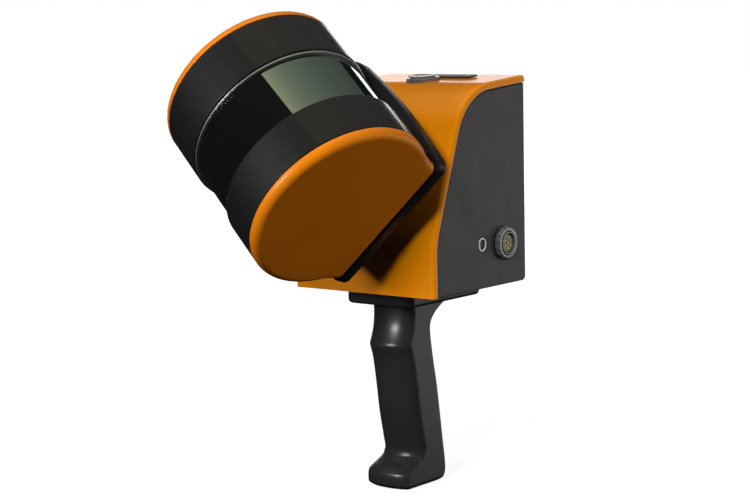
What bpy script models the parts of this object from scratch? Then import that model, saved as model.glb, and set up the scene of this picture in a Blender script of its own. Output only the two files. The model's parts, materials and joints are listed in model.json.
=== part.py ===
"""Handheld laser scanner with a motor-driven, tilted scanning head.

Frame: X points to the connector side, -Y forwards, +Z up. The origin is the middle of the flat foot of
the handle. Lengths below are in millimetres, and MM turns them into Blender's metres as a mesh is made.

Three nested frames carry the moving pieces. The motor frame sits at the centre of the head: its Z is
the head's turning axis, which leans up out of the sloping front. The head frame is the motor frame
turned to the head's resting angle: its X is the axis of the head's drum. The deck frame lies in the
top face, with the power button on its Z.
"""
import math

import bmesh
import bpy
from mathutils import Matrix, Vector

MM = 0.001
GAP = 0.35                       # clearance between neighbouring pieces
UPSIDE_DOWN = (math.pi, 0.0, 0.0)

# Body
BODY_Z = 120.0                   # underside of the body above the foot
BODY_HALF_WIDTH = 51.3
BODY_FRONT = -38.0
BODY_BACK = 55.5
SHELL_WALL = 4.0
LIP_HEIGHT = 24.0                # upright part of the front
LEAN = math.radians(20.0)        # slope of the front, from the vertical
LEAN_TOP = 94.0                  # height where the slope turns into the roll-over
KNEE_RADIUS = 45.0
ROLL_RADIUS = 40.0
DECK_TILT = math.radians(4.5)    # the top rises towards the back
EDGE_RADIUS = 2.4
PANEL_THICKNESS = 3.2
PANEL_FACE = 51.0                # outer face of the side panels
COVER_THICKNESS = 3.2
BASE_THICKNESS = 3.5

# Head
TILT = math.radians(17.0)        # turning axis above the horizontal
HEAD_CENTRE = Vector((0.0, -94.1, 209.2))
REST_ANGLE = math.radians(-40.0)
HEAD_RADIUS = 54.6
HEAD_FLAT = -41.3                # flat back of the D-shaped section
HEAD_SHOULDER = -28.0            # where the round part of the section ends
HEAD_FLAT_HALF = 44.0
HEAD_CORNER = 5.0
BAND_END = 48.0                  # outer end of the black bands
CAP_END = 54.0
CAP_RIM = 4.5
WINDOW_NEAR = 20.7
WINDOW_FAR = -15.8
BAND_WALL = 3.2
WINDOW_INSET = 2.4
WINDOW_WALL = 2.3
TRIM_WIDTH = 1.2
PLATE_BACK = -48.6
PLATE_NEAR_END = 53.4
PLATE_FAR_END = -51.0
PLATE_HALF_WIDTH = 46.5
PLATE_NEAR_CORNER = 6.0
PLATE_FAR_CORNER = 20.0
PLATE_BOW = 2.5                  # how far its long edges bulge

# Drive train, measured along the motor frame's Z (negative is into the body)
HUB_RADIUS = 20.0
HUB_END = -83.0
COLLAR_RADIUS = 27.0
COLLAR_FRONT = -68.2
BULKHEAD_FRONT = -84.4
BULKHEAD_BACK = -89.4
SHAFT_RADIUS = 7.65
SHAFT_BORE = 5.0
SHAFT_END = -131.0
HOUSING_BORE = 14.95
HOUSING_RADIUS = 18.5
HOUSING_END = -118.0
BEARING_WIDTH = 9.0
FRONT_BEARING = -102.0
REAR_BEARING = -117.0
BALL_PITCH = 11.35
BALL_RADIUS = 1.2
BALL_COUNT = 7
MODULE = 1.2
GEAR_TEETH = 40
PINION_TEETH = 10
GEAR_BACK = -127.0
GEAR_WIDTH = 6.0
MOTOR_OFFSET = MODULE * (GEAR_TEETH + PINION_TEETH) / 2 + 0.2
MOTOR_RADIUS = 9.5
MOTOR_END = -117.0

# Power button, accessory plate and connector
BUTTON_RADIUS = 7.7
BEZEL_RADIUS = 10.0
SPRING_RADIUS = 5.0
SPRING_WIRE = 0.45
SPRING_TURNS = 4
ACCESSORY_SIZE = (46.0, 10.4)
ACCESSORY_PLACE = (3.0, 20.4)
BUTTON_Y = 4.4                   # centre of the button behind the front edge of the flat top
CONNECTOR_Y = 32.5
CONNECTOR_Z = BODY_Z + 25.0
ICON_Y = 11.0
ICON_Z = BODY_Z + 26.0

# Handle
FLANGE_THICKNESS = 9.2
FLANGE_HALF_WIDTH = 24.5
FLANGE_FRONT = -24.0
FLANGE_BACK = 47.0
GRIP_HALF_WIDTH = 15.3
GRIP_TOP = BODY_Z - FLANGE_THICKNESS - 2 * GAP


# ---------------------------------------------------------------- materials

def finish(name, colour, metallic, roughness):
    """A Principled BSDF material."""
    material = bpy.data.materials.get(name) or bpy.data.materials.new(name)
    material.use_nodes = True
    shader = material.node_tree.nodes["Principled BSDF"]
    shader.inputs["Base Color"].default_value = (*colour, 1.0)
    shader.inputs["Metallic"].default_value = metallic
    shader.inputs["Roughness"].default_value = roughness
    return material


def orange_paint():
    return finish("orange_paint", (0.72, 0.27, 0.02), 0.0, 0.38)


def charcoal_paint():
    return finish("charcoal_paint", (0.045, 0.043, 0.042), 0.0, 0.5)


def black_plastic():
    return finish("black_plastic", (0.02, 0.02, 0.02), 0.0, 0.42)


def gloss_black():
    return finish("gloss_black", (0.01, 0.01, 0.01), 0.0, 0.08)


def dark_glass():
    return finish("dark_glass", (0.01, 0.013, 0.013), 0.0, 0.03)


def steel():
    return finish("steel", (0.55, 0.55, 0.56), 1.0, 0.28)


def aluminium():
    return finish("aluminium", (0.75, 0.76, 0.77), 1.0, 0.4)


def brass():
    return finish("brass", (0.72, 0.52, 0.2), 1.0, 0.3)


def board_green():
    return finish("board_green", (0.02, 0.14, 0.06), 0.0, 0.45)


def pale_plastic():
    return finish("pale_plastic", (0.6, 0.62, 0.58), 0.0, 0.4)


# ---------------------------------------------------------------- solids, in millimetres

def skin(loops, cyclic=False):
    """A solid through closed loops with equal point counts: capped at its ends, or closed on itself."""
    bm = bmesh.new()
    rings = [[bm.verts.new(point) for point in loop] for loop in loops]
    pairs = list(zip(rings, rings[1:]))
    if cyclic:
        pairs.append((rings[-1], rings[0]))
    else:
        bm.faces.new(rings[0])
        bm.faces.new(rings[-1])
    for lower, upper in pairs:
        for i in range(len(lower)):
            j = (i + 1) % len(lower)
            bm.faces.new((lower[i], lower[j], upper[j], upper[i]))
    bmesh.ops.recalc_face_normals(bm, faces=bm.faces)
    return bm


def circle(radius, z, count, phase=0.0):
    step = math.tau / count
    angles = [phase + i * step for i in range(count)]
    return [Vector((radius * math.cos(a), radius * math.sin(a), z)) for a in angles]


def turned(profile, count):
    """A turned piece with a bore: the closed profile lists (radius, z) points."""
    return skin([circle(radius, z, count) for radius, z in profile], cyclic=True)


def turned_solid(profile, count):
    """A turned piece without a bore: the profile runs from one flat end to the other."""
    return skin([circle(radius, z, count) for radius, z in profile])


def cylinder(radius, z0, z1, count):
    return turned_solid([(radius, z0), (radius, z1)], count)


def cylinder_at(place, radius, z0, z1, count):
    return moved(cylinder(radius, z0, z1, count), Matrix.Translation(place))


def tube(inner, outer, z0, z1, count):
    return turned([(inner, z0), (outer, z0), (outer, z1), (inner, z1)], count)


def box(low, high):
    """A block between two corners."""
    low, high = Vector(low), Vector(high)
    size = Matrix.Diagonal((*(high - low), 1.0))
    bm = bmesh.new()
    bmesh.ops.create_cube(bm, size=1.0, matrix=Matrix.Translation((low + high) / 2) @ size)
    return bm


def arc(centre, radius, start, end, steps):
    """Points on an arc in a plane; the angles are in radians."""
    points = []
    for i in range(steps + 1):
        angle = start + (end - start) * i / steps
        points.append((centre[0] + radius * math.cos(angle), centre[1] + radius * math.sin(angle)))
    return points


def rounded_rectangle(half_x, half_y, radius, steps=4):
    points = []
    for quarter in range(4):
        sign_x = 1 if quarter in (0, 3) else -1
        sign_y = 1 if quarter in (0, 1) else -1
        centre = (sign_x * (half_x - radius), sign_y * (half_y - radius))
        start = quarter * math.pi / 2
        points += arc(centre, radius, start, start + math.pi / 2, steps)
    return points


def slab(outline, z0, z1, chamfer_outline=None, chamfer=0.0):
    """A plate with the given outline; a second, smaller outline chamfers both of its faces."""
    inner = chamfer_outline or outline
    levels = [(inner, z0), (outline, z0 + chamfer), (outline, z1 - chamfer), (inner, z1)]
    if not chamfer:
        levels = [(outline, z0), (outline, z1)]
    return skin([[Vector((x, y, z)) for x, y in shape] for shape, z in levels])


def moved(bm, *steps):
    """The same solid after some transforms, the last of them applied first."""
    matrix = Matrix.Identity(4)
    for step in steps:
        matrix = matrix @ step
    bm.transform(matrix)
    return bm


def combined(solids):
    """Separate solids as one mesh."""
    joined = bmesh.new()
    for solid in solids:
        scratch = bpy.data.meshes.new("scratch")
        solid.to_mesh(scratch)
        solid.free()
        joined.from_mesh(scratch)
        bpy.data.meshes.remove(scratch)
    return joined


# ---------------------------------------------------------------- objects

def clear_scene():
    for old in list(bpy.data.objects):
        bpy.data.objects.remove(old, do_unlink=True)


def add_empty(name, parent=None, location=(0, 0, 0), rotation=(0, 0, 0)):
    empty = bpy.data.objects.new(name, None)
    bpy.context.collection.objects.link(empty)
    empty.parent = parent
    empty.location = Vector(location) * MM
    empty.rotation_euler = rotation
    return empty


def add_piece(name, bm, material, parent=None, location=(0, 0, 0), rotation=(0, 0, 0)):
    bmesh.ops.scale(bm, vec=(MM, MM, MM), verts=bm.verts)
    mesh = bpy.data.meshes.new(name)
    bm.to_mesh(mesh)
    bm.free()
    mesh.shade_smooth()
    mesh.set_sharp_from_angle(angle=math.radians(35.0))
    mesh.materials.append(material)
    piece = bpy.data.objects.new(name, mesh)
    bpy.context.collection.objects.link(piece)
    piece.parent = parent
    piece.location = Vector(location) * MM
    piece.rotation_euler = rotation
    return piece


def boolean(piece, name, bm, operation, parent, location, rotation):
    tool = add_piece(name, bm, piece.data.materials[0], parent, location, rotation)
    tool.hide_render = True
    tool.display_type = "WIRE"
    modifier = piece.modifiers.new(name, "BOOLEAN")
    modifier.operation = operation
    modifier.solver = "EXACT"
    modifier.object = tool


def cut(piece, name, bm, parent=None, location=(0, 0, 0), rotation=(0, 0, 0)):
    boolean(piece, name, bm, "DIFFERENCE", parent, location, rotation)


def fuse(piece, name, bm, parent=None, location=(0, 0, 0), rotation=(0, 0, 0)):
    boolean(piece, name, bm, "UNION", parent, location, rotation)


# ---------------------------------------------------------------- screws

def screw(head_radius, head_height, shank_radius, shank_length):
    """A socket screw whose head stands on the origin and points to +Z."""
    profile = [(shank_radius, -shank_length), (shank_radius, 0.0), (head_radius, 0.0)]
    profile += [(head_radius, head_height), (head_radius * 0.55, head_height)]
    profile += [(head_radius * 0.5, head_height * 0.4)]
    return turned_solid(profile, 12)


def screw_pocket(place, head_radius, depth, shank_radius, shank_length):
    """The counterbored hole for a screw, open above its seat."""
    profile = [(shank_radius + GAP, -shank_length), (shank_radius + GAP, -GAP)]
    profile += [(head_radius + GAP, -GAP), (head_radius + GAP, depth)]
    return moved(turned_solid(profile, 12), Matrix.Translation(place))


def grid(xs, ys, z):
    return [(x, y, z) for x in xs for y in ys]


# ---------------------------------------------------------------- body

def roll_centre():
    """Centre of the arc where the sloping front rolls over into the top, from the body's underside."""
    knee_y = BODY_FRONT + KNEE_RADIUS * (1 - math.cos(LEAN))
    knee_z = LIP_HEIGHT + KNEE_RADIUS * math.sin(LEAN)
    top_y = knee_y + (LEAN_TOP - knee_z) * math.tan(LEAN)
    return top_y + ROLL_RADIUS * math.cos(LEAN), LEAN_TOP - ROLL_RADIUS * math.sin(LEAN)


def deck_origin():
    """Front edge of the flat top."""
    y, z = roll_centre()
    crown_y = y - ROLL_RADIUS * math.sin(DECK_TILT)
    crown_z = z + ROLL_RADIUS * math.cos(DECK_TILT)
    return Vector((0.0, crown_y, BODY_Z + crown_z))


def side_profile(inset, back=BODY_BACK):
    """The body's front and top seen from the side, moved inwards: (y, z) points from bottom to back."""
    points = [(BODY_FRONT + inset, 0.0)]
    knee = (BODY_FRONT + KNEE_RADIUS, LIP_HEIGHT)
    points += arc(knee, KNEE_RADIUS - inset, math.pi, math.pi - LEAN, 4)
    end = math.pi / 2 + DECK_TILT
    points += arc(roll_centre(), ROLL_RADIUS - inset, math.pi - LEAN, end, 12)
    y, z = points[-1]
    points.append((back, z + (back - y) * math.tan(DECK_TILT)))
    return [(y, z + BODY_Z) for y, z in points]


def across(outline, x):
    return [Vector((x, y, z)) for y, z in outline]


def front_shell(motor, deck):
    inner = side_profile(SHELL_WALL)[::-1]
    loops = []
    for side in (-1, 1):
        rounding = [math.radians(a) for a in (90, 60, 30, 0)][:: -side]
        for angle in rounding:
            inset = EDGE_RADIUS * (1 - math.cos(angle))
            x = side * (BODY_HALF_WIDTH - EDGE_RADIUS * (1 - math.sin(angle)))
            loops.append(across(side_profile(inset) + inner, x))
    shell = add_piece("front_shell", skin(loops), orange_paint())
    cut(shell, "collar_hole", cylinder(COLLAR_RADIUS + GAP, -95.0, -60.0, 48), motor)
    hole = cylinder(BEZEL_RADIUS + GAP, -10.0, 10.0, 32)
    cut(shell, "button_hole", hole, deck, (0.0, BUTTON_Y, 0.0))
    return shell


def side_panel(name, side):
    outline = side_profile(SHELL_WALL + GAP)
    y, z = outline[-1]
    corner = 3.0
    outline += arc((y - corner, BODY_Z + corner), corner, 0.0, -math.pi / 2, 3)
    loops = [across(outline, side * x) for x in (PANEL_FACE - PANEL_THICKNESS, PANEL_FACE)]
    return add_piece(name, skin(loops), charcoal_paint())


def side_panels():
    side_panel("side_panel_left", -1)
    right = side_panel("side_panel_right", 1)
    turn = (0.0, math.pi / 2, 0.0)
    hole = cylinder(7.2, -10.0, 10.0, 24)
    cut(right, "connector_hole", hole, None, (PANEL_FACE, CONNECTOR_Y, CONNECTOR_Z), turn)
    pocket = slab(rounded_rectangle(4.5, 4.1, 3.6), -0.9, 2.0)
    cut(right, "icon_pocket", pocket, None, (PANEL_FACE, ICON_Y, ICON_Z), turn)


def inner_half_width():
    return PANEL_FACE - PANEL_THICKNESS - GAP


def rear_cover():
    top = side_profile(SHELL_WALL + GAP, BODY_BACK - COVER_THICKNESS)[-1][1]
    half = inner_half_width()
    back = BODY_BACK - 0.2
    cover = add_piece(
        "rear_cover",
        box((-half, back - COVER_THICKNESS, BODY_Z), (half, back, top)),
        charcoal_paint(),
    )
    slots = [
        box((-24.0, back - 5.0, z), (24.0, back + 5.0, z + 2.4))
        for z in (BODY_Z + 78.0 + 6.0 * i for i in range(4))
    ]
    cut(cover, "vent_slots", combined(slots))
    places = grid((-40.0, 40.0), (12.0, 104.0), 0.0)
    turn = (math.pi / 2, 0.0, math.pi)
    seat = (0.0, back - 1.6, BODY_Z)
    pockets = combined([screw_pocket(p, 2.6, 6.0, 1.4, 6.0) for p in places])
    cut(cover, "rear_screw_pockets", pockets, None, seat, turn)


def base_plate():
    half = inner_half_width()
    front = BODY_FRONT + SHELL_WALL + GAP
    back = BODY_BACK - 0.2 - COVER_THICKNESS - GAP
    plate = add_piece(
        "base_plate",
        box((-half, front, BODY_Z), (half, back, BODY_Z + BASE_THICKNESS)),
        charcoal_paint(),
    )
    seat = (0.0, 0.0, BODY_Z + 1.9)
    places = grid((-41.0, 41.0), (-44.0, 27.0), 0.0)
    pockets = combined([screw_pocket(p, 2.6, 6.0, 1.4, 6.0) for p in places])
    cut(plate, "base_screw_pockets", pockets, None, seat, UPSIDE_DOWN)
    holes = combined([cylinder_at(p, 1.7 + GAP, -2.0, 6.0, 12) for p in handle_screw_places()])
    cut(plate, "handle_screw_holes", holes, None, (0.0, 0.0, BODY_Z))


# ---------------------------------------------------------------- handle

def handle_screw_places():
    return grid((-17.0, 17.0), (-17.5, 40.5), 0.0)


def handle_flange():
    middle = (FLANGE_FRONT + FLANGE_BACK) / 2
    half_y = (FLANGE_BACK - FLANGE_FRONT) / 2
    shapes = [rounded_rectangle(FLANGE_HALF_WIDTH - i, half_y - i, 4.0 - i) for i in (2.2, 0.7, 0.0, 0.0)]
    heights = (-FLANGE_THICKNESS, -FLANGE_THICKNESS + 0.7, -FLANGE_THICKNESS + 2.2, 0.0)
    loops = [[Vector((x, y, z)) for x, y in shape] for shape, z in zip(shapes, heights)]
    seat = (0.0, middle, BODY_Z - GAP)
    flange = add_piece("handle_flange", skin(loops), black_plastic(), None, seat)
    seat_z = BODY_Z - FLANGE_THICKNESS + 3.6
    places = [(x, -y, z) for x, y, z in handle_screw_places()]
    pockets = combined([screw_pocket(p, 3.2, 8.0, 1.7, 9.0) for p in places])
    cut(flange, "flange_screw_pockets", pockets, None, (0.0, 0.0, seat_z), UPSIDE_DOWN)
    for number, (x, y, z) in enumerate(handle_screw_places(), 1):
        bolt = screw(3.2, 2.8, 1.7, 9.0)
        add_piece(f"handle_screw_{number}", bolt, steel(), None, (x, y, seat_z), UPSIDE_DOWN)


def eased(keys, z):
    """Height-to-depth curve through a few (z, y) keys, from top to bottom, smooth at each key."""
    for i in range(len(keys) - 1):
        (z0, y0), (z1, y1) = keys[i], keys[i + 1]
        if z <= z0 and z >= z1:
            before = keys[max(i - 1, 0)]
            after = keys[min(i + 2, len(keys) - 1)]
            slope0 = (y1 - before[1]) / (z1 - before[0])
            slope1 = (after[1] - y0) / (after[0] - z0)
            span = z1 - z0
            t = (z - z0) / span
            a = (2 * t ** 3 - 3 * t ** 2 + 1) * y0 + (t ** 3 - 2 * t ** 2 + t) * span * slope0
            b = (3 * t ** 2 - 2 * t ** 3) * y1 + (t ** 3 - t ** 2) * span * slope1
            return a + b
    return keys[-1][1]


def grip_section(front, back, half, bulge, z):
    """A grip section: half an ellipse in front, tighter rounded corners behind."""
    back_corner = 4.0
    points = arc((half - back_corner, back - back_corner), back_corner, 0.0, math.pi / 2, 3)
    points += arc((-half + back_corner, back - back_corner), back_corner, math.pi / 2, math.pi, 3)
    for x, y in arc((0.0, 0.0), 1.0, math.pi, math.tau, 16):
        points.append((half * x, front + bulge + bulge * y))
    return [Vector((x, y, z)) for x, y in points]


def handle_grip():
    """Grip with a finger hump in front, a neck behind and a forward lip at the foot."""
    top = GRIP_TOP
    front_keys = [(top, -15.1), (104.0, -15.1), (99.0, -15.6), (95.0, -16.6), (90.0, -18.6), (86.7, -20.1)]
    front_keys += [(85.0, -20.1), (78.0, -17.8), (63.0, -15.3), (44.0, -12.7), (27.0, -9.1), (21.5, -7.7)]
    front_keys += [(19.0, -7.9), (17.0, -8.8), (14.5, -12.0), (12.2, -17.2), (10.5, -20.1), (8.4, -21.2)]
    front_keys += [(5.0, -21.3), (2.0, -20.7), (0.0, -18.3)]
    bulge_keys = [(top, 7.8), (99.0, 8.1), (90.0, 8.7), (78.0, 9.1), (44.0, 9.7), (21.5, 9.5)]
    bulge_keys += [(17.5, 8.2), (14.5, 6.4), (12.2, 5.6), (10.0, 4.8), (6.0, 4.5), (0.0, 4.2)]
    back_keys = [(top, 26.5), (108.0, 22.0), (104.0, 15.1), (99.0, 10.1), (94.0, 8.8), (81.0, 10.4)]
    back_keys += [(58.0, 14.8), (24.0, 19.8), (9.0, 21.9), (4.0, 21.4), (1.2, 19.3), (0.0, 16.5)]
    heights = [top, 109.5, 107.5, 105.0, 102.0, 99.0, 95.0, 91.0, 88.5, 86.7, 85.0, 83.0, 79.0, 70.0, 57.0]
    heights += [42.0, 27.0, 22.0, 19.0, 16.5, 14.3, 12.2, 10.5, 8.8, 5.0, 2.2, 0.9, 0.0]
    loops = []
    for z in heights:
        half = GRIP_HALF_WIDTH - 2.0 * max(0.0, 1.0 - z / 2.2) ** 2
        front = eased(front_keys, z)
        loops.append(grip_section(front, eased(back_keys, z), half, eased(bulge_keys, z), z))
    add_piece("handle_grip", skin(loops), black_plastic())


# ---------------------------------------------------------------- power button and top

def power_button(deck):
    seat = (0.0, BUTTON_Y, 0.0)
    bezel = [(8.05, -12.0), (9.2, -12.0), (BEZEL_RADIUS, -11.2)]
    bezel += [(BEZEL_RADIUS, 1.6), (9.4, 2.1), (8.05, 2.1)]
    add_piece("button_bezel", turned(bezel, 28), steel(), deck, seat)
    cap = [(2.6, -9.2), (2.6, -1.6), (BUTTON_RADIUS, -1.6), (BUTTON_RADIUS, 2.9), (7.1, 3.3), (4.0, 3.4)]
    add_piece("button_cap", turned_solid(cap, 28), steel(), deck, seat)
    add_piece("button_switch", cylinder(7.4, -16.6, -12.35, 16), black_plastic(), deck, seat)
    add_piece("button_spring", coil_spring(-12.0 + 1.2, -1.6 - GAP - SPRING_WIRE), steel(), deck, seat)


def coil_spring(bottom, top):
    """A compression spring around the button's stem."""
    steps = 8 * SPRING_TURNS
    loops = []
    for i in range(steps + 1):
        turn = math.tau * SPRING_TURNS * i / steps
        centre = Matrix.Rotation(turn, 4, "Z") @ Matrix.Translation((SPRING_RADIUS, 0.0, 0.0))
        rise = Matrix.Translation((0.0, 0.0, bottom + (top - bottom) * i / steps))
        wire = [Vector((v.x, 0.0, v.y)) for v in circle(SPRING_WIRE, 0.0, 5)]
        loops.append([rise @ centre @ v for v in wire])
    return skin(loops)


def accessory_plate(deck):
    half_x, half_y = ACCESSORY_SIZE[0] / 2, ACCESSORY_SIZE[1] / 2
    outline = rounded_rectangle(half_x, half_y, 2.0)
    smaller = rounded_rectangle(half_x - 0.3, half_y - 0.3, 1.7)
    seat = (*ACCESSORY_PLACE, GAP)
    plate = add_piece("accessory_plate", slab(outline, 0.0, 1.1, smaller, 0.3), black_plastic(), deck, seat)
    places = grid((-18.0, 18.0), (0.0,), 0.5)
    pockets = combined([cylinder_at(p, 2.3, 0.0, 4.0, 16) for p in places])
    cut(plate, "accessory_screw_pockets", pockets, deck, seat)


# ---------------------------------------------------------------- connector

def knurled(radius, depth, teeth, z):
    """A circle with shallow knurling."""
    points = []
    for i in range(2 * teeth):
        angle = math.pi * i / teeth
        size = radius - (depth if i % 2 else 0.0)
        points.append(Vector((size * math.cos(angle), size * math.sin(angle), z)))
    return points


def connector():
    seat = (PANEL_FACE, CONNECTOR_Y, CONNECTOR_Z)
    turn = (0.0, math.pi / 2, 0.0)
    barrel = [(5.9, -8.0), (6.8, -8.0), (6.8, 4.1), (6.5, 4.4), (6.2, 4.4), (5.9, 4.1)]
    add_piece("connector_barrel", turned(barrel, 24), steel(), None, seat, turn)
    count = 14
    rim = [circle(7.2, z, 2 * count) for z in (3.7, GAP)]
    nut = [knurled(9.8, 0.3, count, GAP), knurled(10.2, 0.5, count, GAP + 0.6)]
    nut += [knurled(10.2, 0.5, count, 2.6), knurled(9.0, 0.2, count, 3.7)]
    add_piece("connector_nut", skin(nut + rim, cyclic=True), steel(), None, seat, turn)
    insert = add_piece("connector_insert", cylinder(5.2, -6.0, 2.8, 24), pale_plastic(), None, seat, turn)
    places = [Vector((0.0, 0.0, 0.0))] + circle(3.2, 0.0, 6)
    holes = combined([cylinder_at(p, 0.55 + GAP, -8.0, 4.5, 8) for p in places])
    cut(insert, "contact_holes", holes, None, seat, turn)
    contacts = add_piece("connector_contacts", cylinder(5.0, -7.4, -6.35, 24), brass(), None, seat, turn)
    pins = combined([cylinder_at(p, 0.55, -7.0, 3.1, 8) for p in places])
    fuse(contacts, "contact_pins", pins, None, seat, turn)


def port_icon():
    """A plain oblong outline beside the connector."""
    seat = (PANEL_FACE, ICON_Y, ICON_Z)
    turn = (0.0, math.pi / 2, 0.0)
    outer = rounded_rectangle(4.1, 3.7, 3.2)
    inner = rounded_rectangle(3.0, 2.6, 2.1)
    levels = [(outer, -0.5), (outer, 0.05), (inner, 0.05), (inner, -0.5)]
    loops = [[Vector((x, y, z)) for x, y in shape] for shape, z in levels]
    add_piece("port_icon", skin(loops, cyclic=True), pale_plastic(), None, seat, turn)


# ---------------------------------------------------------------- drive inside the body

def bulkhead(motor):
    plate = add_piece(
        "bulkhead", box((-42.0, -57.0, BULKHEAD_BACK), (42.0, 37.0, BULKHEAD_FRONT)), aluminium(), motor
    )
    cut(plate, "shaft_hole", cylinder(11.0, -95.0, -80.0, 32), motor)
    profile = [(HUB_RADIUS + GAP, BULKHEAD_FRONT + GAP), (COLLAR_RADIUS, BULKHEAD_FRONT + GAP)]
    profile += [(COLLAR_RADIUS, COLLAR_FRONT - 1.5), (COLLAR_RADIUS - 0.6, COLLAR_FRONT - 0.4)]
    profile += [(COLLAR_RADIUS - 2.0, COLLAR_FRONT), (HUB_RADIUS + GAP, COLLAR_FRONT)]
    add_piece("neck_collar", turned(profile, 36), black_plastic(), motor)


def bearings(motor):
    housing = tube(HOUSING_BORE, HOUSING_RADIUS, HOUSING_END, BULKHEAD_BACK - GAP, 24)
    add_piece("bearing_housing", housing, aluminium(), motor)
    for name, back in (("front", FRONT_BEARING), ("rear", REAR_BEARING)):
        front = back + BEARING_WIDTH
        add_piece(f"{name}_bearing_outer", tube(12.9, 14.6, back, front, 21), steel(), motor)
        add_piece(f"{name}_bearing_inner", tube(8.0, 9.8, back, front, 21), steel(), motor)
        middle = back + BEARING_WIDTH / 2
        cage = tube(BALL_PITCH - 0.5, BALL_PITCH + 0.5, middle - 2.4, middle + 2.4, 21)
        cage = add_piece(f"{name}_ball_cage", cage, brass(), motor)
        fuse(cage, f"{name}_balls", ball_ring(middle), motor)


def ball_ring(z):
    """The balls of one bearing."""
    balls = []
    for place in circle(BALL_PITCH, z, BALL_COUNT):
        ball = bmesh.new()
        bmesh.ops.create_icosphere(ball, subdivisions=1, radius=BALL_RADIUS)
        balls.append(moved(ball, Matrix.Translation(place)))
    return combined(balls)


def gear_outline(teeth, z, phase=0.0):
    """Spur-gear teeth with straight flanks and a little backlash."""
    pitch = MODULE * teeth / 2
    tip, root = pitch + 0.8 * MODULE, pitch - 1.1 * MODULE
    half_pitch_width = MODULE * math.pi / 4 - 0.22
    flank = math.tan(math.radians(22.0))
    corners = []
    for radius in (root, tip):
        half = half_pitch_width - (radius - pitch) * flank
        corners.append((radius, half / radius))
    points = []
    for tooth in range(teeth):
        middle = phase + math.tau * tooth / teeth
        for radius, offset in (corners[0], corners[1]):
            angle = middle - offset
            points.append(Vector((radius * math.cos(angle), radius * math.sin(angle), z)))
        for radius, offset in (corners[1], corners[0]):
            angle = middle + offset
            points.append(Vector((radius * math.cos(angle), radius * math.sin(angle), z)))
    return points


def drive_train(motor):
    back, front = GEAR_BACK, GEAR_BACK + GEAR_WIDTH
    up = math.pi / 2
    teeth = skin([gear_outline(GEAR_TEETH, z, up) for z in (back, front)])
    gear = add_piece("drive_gear", teeth, brass(), motor)
    cut(gear, "gear_bore", cylinder(SHAFT_RADIUS + GAP, back - 5.0, front + 5.0, 24), motor)
    gap_angle = -up + math.pi / PINION_TEETH
    pinion = [circle(1.5, MOTOR_END - GAP, 4 * PINION_TEETH), circle(1.5, front, 4 * PINION_TEETH)]
    pinion += [gear_outline(PINION_TEETH, z, gap_angle) for z in (front, back)]
    pinion += [circle(1.5, back, 4 * PINION_TEETH), circle(1.5, back - 1.5, 4 * PINION_TEETH)]
    add_piece("motor_pinion", skin(aligned(pinion)), steel(), motor, (0.0, MOTOR_OFFSET, 0.0))
    body = [(MOTOR_RADIUS - 1.0, MOTOR_END), (MOTOR_RADIUS, MOTOR_END + 1.0)]
    body += [(MOTOR_RADIUS, BULKHEAD_BACK - GAP)]
    add_piece("drive_motor", turned_solid(body, 24), steel(), motor, (0.0, MOTOR_OFFSET, 0.0))
    clamp = add_piece(
        "motor_clamp", box((-13.5, 18.9, -96.0), (13.5, 42.0, BULKHEAD_BACK - GAP)), aluminium(), motor
    )
    hole = cylinder(MOTOR_RADIUS + GAP, -100.0, -85.0, 32)
    cut(clamp, "motor_hole", hole, motor, (0.0, MOTOR_OFFSET, 0.0))


def aligned(loops):
    """The loops, each started at the point nearest to the first loop's start direction."""
    lined_up = []
    for loop in loops:
        start = max(range(len(loop)), key=lambda i: (loop[i].x, -abs(loop[i].y)))
        lined_up.append(loop[start:] + loop[:start])
    return lined_up


def shaft_and_encoder(motor):
    shaft = tube(SHAFT_BORE, SHAFT_RADIUS, SHAFT_END, -50.0, 24)
    add_piece("hollow_shaft", shaft, steel(), motor)
    add_piece("encoder_disc", tube(SHAFT_RADIUS + GAP, 17.0, -129.6, -128.4, 28), steel(), motor)
    reader = box((-6.0, -24.0, -134.0), (6.0, -17.5, -127.6))
    add_piece("encoder_reader", reader, black_plastic(), motor)
    add_piece("slip_ring_rotor", cylinder(SHAFT_BORE - GAP, -146.0, -120.0, 20), brass(), motor)
    add_piece("slip_ring_stator", tube(SHAFT_BORE, 10.0, -144.0, -132.0, 24), black_plastic(), motor)
    plate = box((-15.0, -46.5, -141.0), (15.0, 15.0, -138.0))
    bracket = add_piece("slip_ring_bracket", plate, aluminium(), motor)
    cut(bracket, "stator_hole", cylinder(10.0 + GAP, -150.0, -130.0, 24), motor)


def electronics():
    board = box((-44.6, 2.0, BODY_Z + 10.0), (-43.0, 45.0, BODY_Z + 96.0))
    board = add_piece("main_board", board, board_green())
    chips = []
    for y, z, size in ((12.0, 24.0, 12.0), (28.0, 26.0, 9.0), (24.0, 50.0, 16.0), (22.0, 76.0, 12.0)):
        chips.append(box((-43.5, y, BODY_Z + z), (-41.0, y + size, BODY_Z + z + size)))
    fuse(board, "board_chips", combined(chips))
    imu = box((-12.0, -20.0, BODY_Z + BASE_THICKNESS + GAP), (12.0, 2.0, BODY_Z + 13.0))
    add_piece("motion_sensor", imu, aluminium())


# ---------------------------------------------------------------- head

def d_section(inset, x):
    """The head's section, moved inwards: round in front, with a flat back and rounded back corners."""
    radius = HEAD_RADIUS - inset
    shoulder = math.asin(HEAD_SHOULDER / radius)
    points = arc((0.0, 0.0), radius, shoulder, math.pi - shoulder, 32)
    corner = max(HEAD_CORNER - inset, 1.2)
    side = HEAD_FLAT_HALF - inset - corner
    low = HEAD_FLAT + inset + corner
    points += arc((-side, low), corner, math.pi, 1.5 * math.pi, 2)
    points += arc((side, low), corner, 1.5 * math.pi, math.tau, 2)
    return [Vector((x, y, z)) for y, z in points]


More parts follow.
